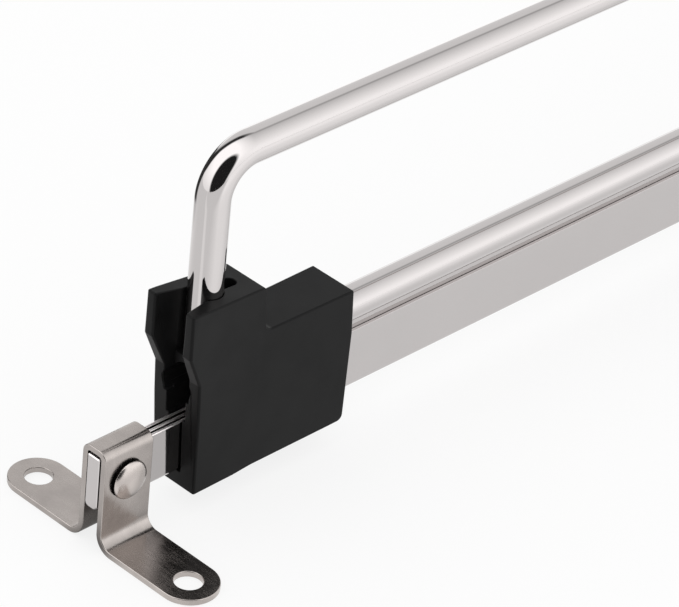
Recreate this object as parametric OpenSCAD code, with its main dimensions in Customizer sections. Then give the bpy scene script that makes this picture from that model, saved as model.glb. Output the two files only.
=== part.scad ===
// Pull-out valet rail for a closet, shown standing on its mounting feet.
// A fixed rolled rail is riveted into a saddle bracket at each end. A hanging rod, carried by a
// slider at the rear and by a bar inside the rail's tube at the front, pulls out towards +X.
// Origin: the middle of the four foot holes, on the feet's undersides. X runs along the rail,
// +X is the pull-out end, Z points away from the mounting surface. Millimetres.

/* [Rail] */
// Length of the fixed rail, end to end
rail_len = 350; // [260:10:500]
// Outside diameter of the tube along the rail's top
tube_d = 8; // [7:0.1:9]
// Thickness of the rail's rolled sheet
rail_sheet_t = 0.8; // [0.6:0.05:1]
// Thickness of the rail's flat web
web_t = 3.7; // [3.4:0.1:4.2]
// Height of the web above the mounting surface
web_bottom_z = 10; // [8:0.5:12]
// Height of the flat web, up to its seam
web_h = 15.65; // [14:0.05:18]
// Height of the neck between the seam and the tube
neck_h = 2.85; // [2.4:0.05:3.4]
// Depth that the ends are cut down below the seam
notch_drop = 2.05; // [1.6:0.05:2.6]
// Length of the cut-down stretch at each end
notch_len = 31; // [28:0.5:36]

/* [Brackets] */
// Width of the bracket's strap
strap_w = 14; // [12:0.5:16]
// Thickness of the bracket's sheet
strap_t = 1.5; // [1:0.1:1.8]
// Distance between the two foot holes of a bracket
foot_hole_pitch = 48.6; // [44:0.2:54]
// Diameter of a foot hole
foot_hole_d = 6.5; // [4:0.1:7.5]
// Radius of the bend between leg and foot, on its hollow side
foot_bend_r = 3; // [2:0.1:4]
// Outside radius of the saddle's top corners
saddle_r = 2.3; // [2:0.1:2.6]
// Height of the rivet above the mounting surface
rivet_z = 16.8; // [15:0.1:17.5]
// Diameter of the rivet's domed head
rivet_head_d = 9.4; // [8:0.1:10]
// Height of the rivet's domed head
rivet_head_h = 2.2; // [1.6:0.1:2.8]
// Diameter of the rivet's shank
rivet_d = 4; // [3:0.1:4.6]
// Diameter of the rivet's closed end on the far side
rivet_tail_d = 6.8; // [6:0.1:8]
// Height of the rivet's closed end
rivet_tail_h = 1.3; // [1:0.1:2]

/* [Hanging rod] */
// Diameter of the hanging rod
rod_d = 8; // [7:0.1:9]
// Height of the hanging rod's axis above the mounting surface
rod_axis_z = 87; // [78:0.5:100]
// Radius of the rod's bends, on its axis
rod_bend_r = 10; // [9:0.5:14]
// Distance of the rear leg from the rear bracket's middle
rear_leg_x = 22.8; // [22:0.1:24]
// Distance of the front leg from the front bracket's middle
front_leg_x = 21.5; // [21:0.1:24]
// Depth of the rod's feet in the slider and the front grip
rod_seat_depth = 16.5; // [13:0.5:17]
// Diameter of the cross pins
pin_d = 2; // [1.6:0.1:2.4]

/* [Slider] */
// Gap from the rear bracket's middle to the slider
slider_rear_x = 12.5; // [11:0.1:13.4]
// Length of the slider
slider_len = 51.6; // [46:0.1:58]
// Length of the slider's tower, along its top
tower_len = 22.7; // [21:0.1:24]
// Height of the tower's top above the mounting surface, at the open end
tower_top_z = 55; // [53.5:0.1:58]
// How far the tower's top falls towards the block
tower_fall = 1.7; // [0:0.1:2.4]
// Height of the low block's top above the mounting surface
block_top_z = 41.5; // [39.5:0.1:44]
// Height of the slider's underside above the mounting surface, at the open end
slider_bottom_z = 5.8; // [5:0.1:7]
// How far the underside rises towards the block's end
underside_rise = 0.6; // [0:0.1:1.2]
// Greatest width of the slider, at its open end
open_end_w = 15; // [14.2:0.1:15.4]
// Width of the slider's top at its open end
open_top_w = 14.6; // [13.6:0.1:15]
// Width of the slider's underside
underside_w = 13; // [12:0.1:14]
// Width of the slider behind the tower
waist_w = 12.4; // [11.8:0.1:13]
// Width of the low block at its end
block_w = 13.2; // [12:0.1:14]
// Width of the seat that the rod's foot stands in
seat_w = 8.2; // [8.1:0.1:8.8]
// Width of the slot's mouth, at the open end's top
slot_mouth_w = 10; // [9.2:0.1:10.4]
// Width of the slot's lower half
slot_low_w = 8.6; // [8.2:0.1:8.8]
// Width of the slot's throat, which the rod's foot snaps through
throat_w = 6.8; // [6:0.1:7.8]
// How far the slider's lower half stands back at the open end
set_back = 3.6; // [3:0.1:4.8]
// How far the lower half leans back towards the underside
lower_lean = 1.5; // [0:0.1:2.4]
// Height where the slider's end starts to slant back
slant_top_z = 44; // [42:0.1:45]
// Height where the slant ends
slant_bottom_z = 35.7; // [34:0.1:37]
// Height of the ledges under the rail's tube
ledge_z = 29.2; // [28.6:0.1:29.3]
// Width between the ledges
ledge_gap_w = 6; // [5:0.1:6.4]

/* [Front grip] */
// Gap from the front bracket's middle to the grip
grip_rear_x = 9.2; // [8.8:0.1:10]
// Length of the grip
grip_len = 27; // [25:0.2:32]
// Length of the low step at the grip's rear
grip_step_len = 4; // [3:0.1:5]
// Depth of the finger hollow in the grip's front
finger_hollow = 2.4; // [1:0.1:3.4]

/* [Inner slide] */
// Diameter of the slide bar inside the rail's tube
bar_d = 5; // [4.6:0.1:5.2]
// Length of the guide bush in the tube's mouth
mouth_bush_len = 12; // [8:0.5:16]
// Length of the glide bush on the slide bar's end
end_bush_len = 10; // [8:0.5:14]
// Distance from the tube's rear end to the glide bush, when closed
bar_set_in = 15.7; // [8:0.1:60]

/* [Hidden] */
$fn = 64;
// overrun of every cut
over = 1;
// clearances: between moving faces, round moving fits, round fixed fits, and the rail in its
// saddle, at its sides and above its cut end
run_gap = 0.3;
fit_gap = 0.1;
seat_gap = 0.05;
saddle_gap = 0.3;
saddle_lift = 0.65;

// rail
tube_r = tube_d / 2;
tube_bore_r = tube_r - rail_sheet_t;
web_half = web_t / 2;
seam_z = web_bottom_z + web_h;
tube_z = seam_z + neck_h + tube_r;
notch_z = seam_z - notch_drop;
web_fold_r = 1.2;
neck_y = 0.6;
tail_y = 0.05;
tail_stop = 3;
rail_end_x = rail_len / 2;
tube_end_x = rail_end_x - notch_len;

// brackets
rail_overhang = 0.2;
bracket_x = rail_end_x - rail_overhang - strap_w / 2;
leg_in_y = web_half + saddle_gap;
leg_out_y = leg_in_y + strap_t;
saddle_top_z = notch_z + saddle_lift + strap_t;
foot_hole_y = foot_hole_pitch / 2;
foot_hole_rim = 0.25;

// rivets
rivet_hole_r = rivet_d / 2 + seat_gap;
dome_r = (pow(rivet_head_d / 2, 2) + pow(rivet_head_h, 2)) / (2 * rivet_head_h);
tail_r = (pow(rivet_tail_d / 2, 2) + pow(rivet_tail_h, 2)) / (2 * rivet_tail_h);

// hanging rod
rod_r = rod_d / 2;
rear_leg_pos = -bracket_x + rear_leg_x;
front_leg_pos = bracket_x + front_leg_x;
rod_foot_z = tower_top_z - rod_seat_depth;
rod_pin_z = rod_foot_z + rod_seat_depth / 2;
rod_end_chamfer = 0.5;
pin_r = pin_d / 2;
pin_hole_r = pin_r + seat_gap;
pin_grip = 0.7;
pin_half = seat_w / 2 + pin_grip;

// slider, measured from the rear bracket's middle
slider_x0 = slider_rear_x;
slider_x1 = slider_rear_x + slider_len;
tower_x1 = slider_rear_x + tower_len;
slider_corner_r = 1.6;
tower_lean = 1.2;
step_r = 2.4;
top_corner_r = 1;
end_lean = 0.8;
lean_z = 30;
relief_w = 3.2;
relief_len = 4.8;
relief_depth = 11;
seat_r = seat_w / 2;
throat_half = throat_w / 2;
throat_x = rear_leg_x - rod_r - fit_gap;

// front grip, measured from the front bracket's middle
grip_x0 = grip_rear_x;
grip_x1 = grip_rear_x + grip_len;
grip_step_x = grip_rear_x + grip_step_len;
grip_nose_r = 3.2;
finger_hollow_r = 9.6;
grip_w = waist_w;
grip_front_w = 9.6;
grip_top_front = 4;
grip_plan_len = 9;

// inner slide
bar_r = bar_d / 2;
spigot_step = 0.7;
bar_spigot_r = bar_r - spigot_step;
mouth_bush_r = tube_bore_r - seat_gap;
flange_t = 1.2;
end_bush_r = tube_bore_r - fit_gap;
mouth_bush_x = tube_end_x - mouth_bush_len;
end_bush_x = bar_set_in - tube_end_x;
bar_front_x = bracket_x + front_leg_x + rod_r;
bar_pin_back = 6.8;
bar_pin_x = bracket_x + grip_rear_x + bar_pin_back;
bar_chamfer = 0.4;
bar_seat_r = bar_r + seat_gap;
washer_t = 0.6;
washer_r = tube_bore_r - run_gap;
screw_r = 1.1;
screw_len = 7;
screw_head_r = 2.2;
screw_head_h = 1.3;
screw_slot_w = 0.6;
screw_slot_depth = 0.6;

// closing buffer
buffer_r = 4;
buffer_t = 3;
buffer_z = web_bottom_z + web_h / 2;
buffer_groove = 0.5;

nickel = [0.80, 0.79, 0.78];
brushed_nickel = [0.66, 0.64, 0.62];
black = [0.06, 0.06, 0.065];
white_nylon = [0.88, 0.87, 0.83];
steel = [0.62, 0.62, 0.63];
rubber = [0.12, 0.12, 0.12];

function unit(v) = v / norm(v);

// arc of radius r that rounds the corner b between a and c
function corner_arc(a, b, c, r, n = 8) =
  let (u = unit(a - b), v = unit(c - b), half = acos(u * v) / 2, o = b + unit(u + v) * r / sin(half),
       p = b + u * r / tan(half) - o, q = b + v * r / tan(half) - o,
       a0 = atan2(p[1], p[0]), turn = (atan2(q[1], q[0]) - a0 + 540) % 360 - 180)
  [for (i = [0 : n]) o + r * [cos(a0 + turn * i / n), sin(a0 + turn * i / n)]];

// outline of corners [x, y, radius], each rounded by its own radius
function rounded(c) =
  [for (i = [0 : len(c) - 1])
    let (a = c[(i + len(c) - 1) % len(c)], b = c[i], d = c[(i + 1) % len(c)])
    each b[2] > 0 ? corner_arc([a[0], a[1]], [b[0], b[1]], [d[0], d[1]], b[2]) : [[b[0], b[1]]]];

// extrude an outline of (y, z) along X from x0 to x1
module along_x(x0, x1) {
  translate([x0, 0, 0]) rotate([90, 0, 90]) linear_extrude(x1 - x0) children();
}

// extrude an outline of (x, z) along Y, w wide in all
module across_y(w) {
  translate([0, w / 2, 0]) rotate([90, 0, 0]) linear_extrude(w) children();
}

module rod_x(r, x0, x1, z) {
  translate([x0, 0, z]) rotate([0, 90, 0]) cylinder(r = r, h = x1 - x0);
}

module rod_y(r, y0, y1, x, z) {
  translate([x, y1, z]) rotate([90, 0, 0]) cylinder(r = r, h = y1 - y0);
}

module box(lo, hi) {
  translate(lo) cube(hi - lo);
}

// a piece turned about the tube's axis, from its profile of [radius, x]
module turned(profile) {
  translate([0, 0, tube_z]) rotate([0, 90, 0]) rotate_extrude() polygon(profile);
}

module web_outline() {
  polygon(rounded([[-web_half, web_bottom_z, web_fold_r], [web_half, web_bottom_z, web_fold_r],
    [web_half, seam_z, 0], [-web_half, seam_z, 0]]));
}

// the rail's section: a tube on a doubled web, rolled from one strip
module rail_section() {
  difference() {
    union() {
      translate([0, tube_z]) circle(r = tube_r);
      translate([neck_y - 2 * rail_sheet_t, seam_z - over]) square([rail_sheet_t, neck_h + tube_r]);
      translate([web_half - rail_sheet_t, seam_z - over]) square([rail_sheet_t, neck_h + tube_r]);
    }
    translate([0, tube_z]) circle(r = tube_bore_r);
    translate([neck_y - rail_sheet_t, seam_z]) square([web_half - neck_y, neck_h + tube_r]);
  }
  difference() {
    web_outline();
    translate([rail_sheet_t - web_half, web_bottom_z + rail_sheet_t])
      square([web_t - 2 * rail_sheet_t, web_h]);
  }
  translate([-tail_y - rail_sheet_t / 2, web_bottom_z + tail_stop]) square([rail_sheet_t, web_h - tail_stop]);
}

module rail() {
  color(nickel) difference() {
    union() {
      along_x(-rail_end_x, rail_end_x) rail_section();
      // the folded ends of the web
      for (s = [-1, 1]) translate([s * (rail_end_x - rail_sheet_t / 2), 0, 0])
        along_x(-rail_sheet_t / 2, rail_sheet_t / 2) web_outline();
    }
    for (s = [-1, 1]) {
      box([min(s * tube_end_x, s * (rail_end_x + over)), -tube_d, notch_z],
        [max(s * tube_end_x, s * (rail_end_x + over)), tube_d, tube_z + tube_d]);
      rod_y(rivet_hole_r, -web_t, web_t, s * bracket_x, rivet_z);
    }
  }
}

// half of the bracket's bent strap, seen along X
module strap_half() {
  bend_y = leg_out_y + foot_bend_r;
  bend_z = strap_t + foot_bend_r;
  top_y = leg_out_y - saddle_r;
  top_z = saddle_top_z - saddle_r;
  translate([bend_y, 0]) square([foot_hole_y + strap_w / 2 - bend_y, strap_t]);
  intersection() {
    difference() {
      translate([bend_y, bend_z]) circle(r = foot_bend_r + strap_t);
      translate([bend_y, bend_z]) circle(r = foot_bend_r);
    }
    translate([leg_in_y, 0]) square([bend_y - leg_in_y, bend_z]);
  }
  translate([leg_in_y, bend_z]) square([strap_t, top_z - bend_z]);
  intersection() {
    difference() {
      translate([top_y, top_z]) circle(r = saddle_r);
      translate([top_y, top_z]) circle(r = saddle_r - strap_t);
    }
    translate([top_y, top_z]) square([saddle_r, saddle_r]);
  }
  translate([0, saddle_top_z - strap_t]) square([top_y, strap_t]);
}

module bracket(x) {
  color(brushed_nickel) translate([x, 0, 0]) difference() {
    intersection() {
      along_x(-strap_w / 2, strap_w / 2) {
        strap_half();
        mirror([1, 0]) strap_half();
      }
      linear_extrude(saddle_top_z + over) {
        square([strap_w, foot_hole_pitch], center = true);
        for (s = [-1, 1]) translate([0, s * foot_hole_y]) circle(r = strap_w / 2);
      }
    }
    for (s = [-1, 1]) translate([0, s * foot_hole_y, 0]) {
      translate([0, 0, -over]) cylinder(d = foot_hole_d, h = strap_t + 2 * over);
      translate([0, 0, strap_t - foot_hole_rim])
        cylinder(r1 = foot_hole_d / 2, r2 = foot_hole_d / 2 + 2 * foot_hole_rim, h = 2 * foot_hole_rim);
    }
    rod_y(rivet_hole_r, -leg_out_y - over, leg_out_y + over, 0, rivet_z);
  }
}

module rear_bracket() { bracket(-bracket_x); }
module front_bracket() { bracket(bracket_x); }

// domed cap of a sphere of radius r, h high, on the plane y = y0, pointing to side s along Y
module cap(r, h, y0, s) {
  intersection() {
    translate([0, y0 - s * (r - h), 0]) sphere(r = r);
    translate([-r, s > 0 ? y0 : y0 - r, -r]) cube([2 * r, r, 2 * r]);
  }
}

module rivet(x) {
  color(nickel) translate([x, 0, rivet_z]) {
    cap(dome_r, rivet_head_h, -leg_out_y, -1);
    cap(tail_r, rivet_tail_h, leg_out_y, 1);
    rod_y(rivet_d / 2, -leg_out_y - rivet_tail_h / 2, leg_out_y + rivet_tail_h / 2, 0, 0);
  }
}

module rear_rivet() { rivet(-bracket_x); }
module front_rivet() { rivet(bracket_x); }

module mouth_bush() {
  flange_x = tube_end_x + flange_t;
  bore_r = bar_r + fit_gap;
  color(white_nylon) turned([[bore_r, mouth_bush_x], [mouth_bush_r, mouth_bush_x], [mouth_bush_r, tube_end_x],
    [tube_r, tube_end_x], [tube_r, flange_x], [bore_r, flange_x]]);
}

// quarter bend of the rod from a leg at x to the top run, bending towards side s
module rod_bend(x, s) {
  translate([x + s * rod_bend_r, 0, rod_axis_z - rod_bend_r]) rotate([90, 0, 0])
    rotate([0, 0, s > 0 ? 90 : 0]) rotate_extrude(angle = 90)
      translate([rod_bend_r, 0]) circle(r = rod_r);
}

module rod_leg(x) {
  translate([x, 0, rod_foot_z]) cylinder(r1 = rod_r - rod_end_chamfer, r2 = rod_r, h = rod_end_chamfer);
  translate([x, 0, rod_foot_z + rod_end_chamfer])
    cylinder(r = rod_r, h = rod_axis_z - rod_bend_r - rod_foot_z - rod_end_chamfer);
}

module hanging_rod() {
  color(nickel) difference() {
    union() {
      rod_leg(rear_leg_pos);
      rod_bend(rear_leg_pos, 1);
      rod_x(rod_r, rear_leg_pos + rod_bend_r, front_leg_pos - rod_bend_r, rod_axis_z);
      rod_bend(front_leg_pos, -1);
      rod_leg(front_leg_pos);
    }
    for (x = [rear_leg_pos, front_leg_pos]) rod_y(pin_hole_r, -rod_d, rod_d, x, rod_pin_z);
  }
}

module cross_pin(half, x, z) {
  color(steel) rod_y(pin_r, -half, half, x, z);
}

module rear_rod_pin() { cross_pin(pin_half, rear_leg_pos, rod_pin_z); }
module front_rod_pin() { cross_pin(pin_half, front_leg_pos, rod_pin_z); }

// side outline of the slider
module slider_side() {
  lower_x0 = slider_x0 + set_back;
  polygon(rounded([
    [lower_x0 + lower_lean, slider_bottom_z, 0],
    [slider_x1 - end_lean / 2, slider_bottom_z + underside_rise, slider_corner_r],
    [slider_x1, lean_z, 0],
    [slider_x1 - end_lean, block_top_z, 0],
    [tower_x1 + tower_lean, block_top_z, step_r],
    [tower_x1, tower_top_z - tower_fall, 0],
    [slider_x0, tower_top_z, 0],
    [slider_x0, slant_top_z, top_corner_r],
    [lower_x0, slant_bottom_z, top_corner_r]]));
}

// the slider seen from above: widest at its open end, narrow behind the tower
module slider_plan() {
  polygon([[slider_x0 - over, -open_end_w / 2], [tower_x1, -waist_w / 2], [slider_x1 + over, -block_w / 2],
    [slider_x1 + over, block_w / 2], [tower_x1, waist_w / 2], [slider_x0 - over, open_end_w / 2]]);
}

// the slider seen along the rail, with the draft of its sides
module slider_draft() {
  polygon([[-underside_w / 2, slider_bottom_z], [underside_w / 2, slider_bottom_z],
    [open_end_w / 2, slant_bottom_z], [open_top_w / 2, tower_top_z],
    [-open_top_w / 2, tower_top_z], [-open_end_w / 2, slant_bottom_z]]);
}

// slot between the side walls: a funnel that narrows towards the seat and downwards
module slider_slot() {
  mouth_half = slot_mouth_w / 2;
  low_half = slot_low_w / 2;
  intersection() {
    translate([0, 0, ledge_z]) linear_extrude(tower_top_z)
      polygon([[slider_x0 - over, -mouth_half], [throat_x, -throat_half], [throat_x, throat_half],
        [slider_x0 - over, mouth_half]]);
    along_x(slider_x0 - over, throat_x)
      polygon([[-low_half, ledge_z], [low_half, ledge_z], [low_half, slant_bottom_z],
        [mouth_half, tower_top_z], [mouth_half, tower_top_z + over], [-mouth_half, tower_top_z + over],
        [-mouth_half, tower_top_z], [-low_half, slant_bottom_z]]);
  }
  box([throat_x - over, -throat_half, rod_foot_z], [rear_leg_x, throat_half, tower_top_z + over]);
  translate([rear_leg_x, 0, rod_foot_z]) cylinder(r = seat_r, h = tower_top_z);
}

module rear_slider() {
  web_slot_half = web_half + run_gap;
  relief_x = rear_leg_x + rod_r + relief_len - relief_w / 2;
  color(black) translate([-bracket_x, 0, 0]) difference() {
    intersection() {
      across_y(open_end_w + 2 * over) slider_side();
      linear_extrude(tower_top_z + over) slider_plan();
      along_x(slider_x0 - over, slider_x1 + over) slider_draft();
    }
    // passage for the rail's tube and web, with the room below the ledges
    rod_x(tube_r + run_gap, slider_x0 - over, slider_x1 + over, tube_z);
    box([slider_x0 - over, -web_slot_half, web_bottom_z - run_gap], [slider_x1 + over, web_slot_half, tube_z]);
    box([slider_x0 - over, -ledge_gap_w / 2, notch_z + run_gap], [slider_x1 + over, ledge_gap_w / 2, ledge_z + over]);
    slider_slot();
    // relief behind the rod's foot
    box([rear_leg_x, -relief_w / 2, tower_top_z - relief_depth], [relief_x, relief_w / 2, tower_top_z + over]);
    translate([relief_x, 0, tower_top_z - relief_depth]) cylinder(d = relief_w, h = relief_depth + over);
    rod_y(pin_hole_r, -pin_half - seat_gap, pin_half + seat_gap, rear_leg_x, rod_pin_z);
  }
}

// side outline of the front grip
module grip_side() {
  polygon(rounded([
    [grip_x0, slider_bottom_z, slider_corner_r],
    [grip_x1 - grip_top_front / 2, slider_bottom_z, grip_nose_r],
    [grip_x1, slider_bottom_z + grip_top_front, grip_nose_r],
    [grip_x1 - finger_hollow, (slider_bottom_z + block_top_z) / 2, finger_hollow_r],
    [grip_x1, block_top_z, grip_nose_r],
    [grip_x1 - grip_top_front, tower_top_z, grip_nose_r],
    [grip_step_x, tower_top_z, top_corner_r],
    [grip_step_x, block_top_z, step_r],
    [grip_x0, block_top_z, top_corner_r]]));
}

module grip_plan() {
  polygon([[grip_x0 - over, -block_w / 2], [grip_x1 - grip_plan_len, -grip_w / 2], [grip_x1 + over, -grip_front_w / 2],
    [grip_x1 + over, grip_front_w / 2], [grip_x1 - grip_plan_len, grip_w / 2], [grip_x0 - over, block_w / 2]]);
}

module front_grip() {
  bar_pin_half = grip_w / 2 - pin_grip;
  color(black) translate([bracket_x, 0, 0]) difference() {
    intersection() {
      across_y(block_w + 2 * over) grip_side();
      linear_extrude(tower_top_z + over) grip_plan();
    }
    rod_x(bar_seat_r, grip_x0 - over, bar_front_x - bracket_x + seat_gap, tube_z);
    translate([front_leg_x, 0, rod_foot_z - seat_gap]) cylinder(r = rod_r + seat_gap, h = tower_top_z);
    rod_y(pin_hole_r, -pin_half - seat_gap, pin_half + seat_gap, front_leg_x, rod_pin_z);
    rod_y(pin_hole_r, -bar_pin_half - seat_gap, bar_pin_half + seat_gap, bar_pin_x - bracket_x, tube_z);
    // pocket of the closing buffer
    rod_x(buffer_r, grip_x0 - over, rail_overhang + strap_w / 2 + run_gap + buffer_t, buffer_z);
  }
}

module grip_bar_pin() { cross_pin(grip_w / 2 - pin_grip, bar_pin_x, tube_z); }

module slide_bar() {
  spigot_x = end_bush_x + end_bush_len;
  color(steel) difference() {
    turned([[0, end_bush_x], [bar_spigot_r, end_bush_x], [bar_spigot_r, spigot_x], [bar_r, spigot_x],
      [bar_r, bar_front_x - bar_chamfer], [bar_r - bar_chamfer, bar_front_x], [0, bar_front_x]]);
    rod_x(screw_r + seat_gap, end_bush_x - over, end_bush_x + screw_len, tube_z);
    rod_y(pin_hole_r, -bar_d, bar_d, bar_pin_x, tube_z);
  }
}

module end_bush() {
  color(white_nylon) difference() {
    rod_x(end_bush_r, end_bush_x, end_bush_x + end_bush_len, tube_z);
    rod_x(bar_spigot_r + seat_gap, end_bush_x - over, end_bush_x + end_bush_len + over, tube_z);
  }
}

module end_bush_washer() {
  color(steel) difference() {
    rod_x(washer_r, end_bush_x - washer_t, end_bush_x, tube_z);
    rod_x(screw_r + seat_gap, end_bush_x - washer_t - over, end_bush_x + over, tube_z);
  }
}

module end_bush_screw() {
  head_x = end_bush_x - washer_t - screw_head_h;
  shank_x = end_bush_x - washer_t;
  tip_x = end_bush_x + screw_len - seat_gap;
  color(steel) difference() {
    turned([[0, head_x], [screw_head_r, head_x], [screw_head_r, shank_x], [screw_r, shank_x],
      [screw_r, tip_x], [0, tip_x]]);
    box([head_x - over, -screw_head_r - over, tube_z - screw_slot_w / 2],
      [head_x + screw_slot_depth, screw_head_r + over, tube_z + screw_slot_w / 2]);
  }
}

module closing_buffer() {
  face_x = rail_end_x + run_gap;
  color(rubber) difference() {
    rod_x(buffer_r - seat_gap, face_x, face_x + buffer_t, buffer_z);
    rod_x(buffer_r / 2, face_x - over, face_x + buffer_groove, buffer_z);
  }
}

rail();
rear_bracket();
front_bracket();
rear_rivet();
front_rivet();
mouth_bush();
hanging_rod();
rear_slider();
rear_rod_pin();
front_grip();
front_rod_pin();
grip_bar_pin();
slide_bar();
end_bush();
end_bush_washer();
end_bush_screw();
closing_buffer();
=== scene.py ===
from contextlib import contextmanager
from math import acos, atan2, cos, degrees, pi, radians, sin, sqrt, tan
from types import SimpleNamespace

import bmesh
import bpy
from bpy.props import FloatProperty, FloatVectorProperty, PointerProperty
from mathutils import Matrix, Vector


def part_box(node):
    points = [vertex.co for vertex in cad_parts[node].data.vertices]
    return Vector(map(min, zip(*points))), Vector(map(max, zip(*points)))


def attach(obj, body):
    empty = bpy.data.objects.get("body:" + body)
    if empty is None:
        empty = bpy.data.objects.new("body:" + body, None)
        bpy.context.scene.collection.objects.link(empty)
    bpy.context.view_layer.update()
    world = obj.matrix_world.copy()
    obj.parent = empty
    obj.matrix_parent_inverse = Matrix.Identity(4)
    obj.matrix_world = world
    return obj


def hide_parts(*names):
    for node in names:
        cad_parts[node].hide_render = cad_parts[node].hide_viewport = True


bl_info = {
    "name": "Closet Valet Rod",
    "version": (1, 0, 0),
    "blender": (4, 5, 0),
    "location": "View3D > Sidebar > Valet Rod",
    "description": "Dresses a pull-out closet valet rod in plated metal and moulded plastic",
    "category": "Object",
}

# The packed frame: its nodes hold the places, in metres. Meshes are built here in millimetres, in the
# same axes, and scaled once when a piece is finished.
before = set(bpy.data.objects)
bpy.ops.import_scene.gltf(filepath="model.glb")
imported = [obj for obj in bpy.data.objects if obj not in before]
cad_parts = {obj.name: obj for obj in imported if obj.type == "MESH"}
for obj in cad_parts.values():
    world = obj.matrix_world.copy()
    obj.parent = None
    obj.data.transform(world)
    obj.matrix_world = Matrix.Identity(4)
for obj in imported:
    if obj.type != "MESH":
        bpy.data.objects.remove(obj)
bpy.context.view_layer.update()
MM = 0.001
FIXED, MOVING = "fixed_rail", "pull_out"


def box_mm(node):
    """Lowest and highest corner of a frame node, in millimetres."""
    low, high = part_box(node)
    return low / MM, high / MM


RAIL_LOW, RAIL_HIGH = box_mm("rail")
BRACKET_HIGH = box_mm("rear_bracket")[1]
RIVET_LOW, RIVET_HIGH = box_mm("rear_rivet")
ROD_LOW, ROD_HIGH = box_mm("hanging_rod")
SLIDER_LOW, SLIDER_HIGH = box_mm("rear_slider")
GRIP_LOW, GRIP_HIGH = box_mm("front_grip")
BAR_LOW, BAR_HIGH = box_mm("slide_bar")
MOUTH_LOW, MOUTH_HIGH = box_mm("mouth_bush")
BUFFER_LOW, BUFFER_HIGH = box_mm("closing_buffer")

# Radii and middles that the boxes give.
TUBE_R = (RAIL_HIGH.y - RAIL_LOW.y) / 2
TUBE_Z = RAIL_HIGH.z - TUBE_R
ROD_R = (ROD_HIGH.y - ROD_LOW.y) / 2
RIVET_Z = (RIVET_LOW.z + RIVET_HIGH.z) / 2
BRACKET_X = sum(corner.x for corner in box_mm("front_rivet")) / 2
BUFFER_R = (BUFFER_HIGH.z - BUFFER_LOW.z) / 2
BUFFER_Z = (BUFFER_LOW.z + BUFFER_HIGH.z) / 2

# Settings


def length(name, description, millimetres, high=1000.0):
    """A length property, its default and highest value given in millimetres."""
    return FloatProperty(name=name, description=description, default=millimetres * MM, min=0,
                         max=high * MM, unit="LENGTH", precision=5)


def colour(name, description, rgb):
    """A colour property."""
    return FloatVectorProperty(name=name, description=description, subtype="COLOR", size=3, min=0, max=1,
                               default=rgb)


def share(name, description, value, high=1.0):
    """A property for a share, a roughness or a light level."""
    return FloatProperty(name=name, description=description, default=value, min=0, max=high,
                         subtype="FACTOR")


def angle(name, description, turn):
    """An angle property, in degrees."""
    return FloatProperty(name=name, description=description, default=radians(turn), subtype="ANGLE")


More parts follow.
